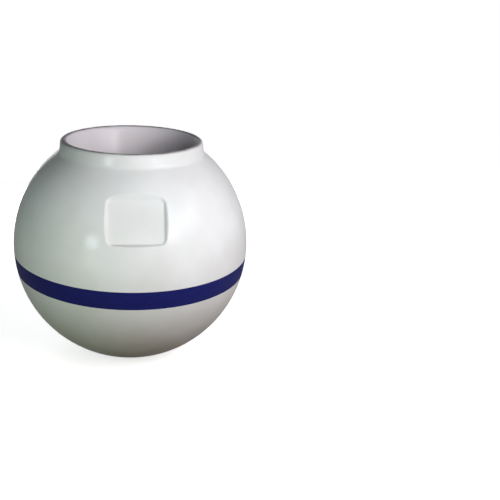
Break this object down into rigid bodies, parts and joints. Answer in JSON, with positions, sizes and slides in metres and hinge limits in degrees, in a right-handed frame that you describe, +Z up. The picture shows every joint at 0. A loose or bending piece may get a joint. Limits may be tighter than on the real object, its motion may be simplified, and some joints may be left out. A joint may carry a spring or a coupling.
{
  "type": "mooring buoy",
  "caption": "White ball-shaped hard mooring buoy with a short neck, rounded lip and tapered chain tube right through, sunk label panels and a blue band below its widest line.",
  "frame": {"origin": "centre of the flat bottom rim, on the surface that the buoy stands on", "axes": "+Z up along the chain tube, towards the mouth; the first label panel faces -Y"},
  "size_m": [0.7619, 0.762, 0.7143],
  "materials": {
    "white_polyethylene": "satin",
    "blue_vinyl": "satin",
    "plug_polyethylene": "satin"
  },
  "bodies": {
    "root": {"moulded_shell": "white_polyethylene", "blue_band": "blue_vinyl", "fill_plug": "plug_polyethylene", "vent_plug": "plug_polyethylene"}
  },
  "joints": []
}
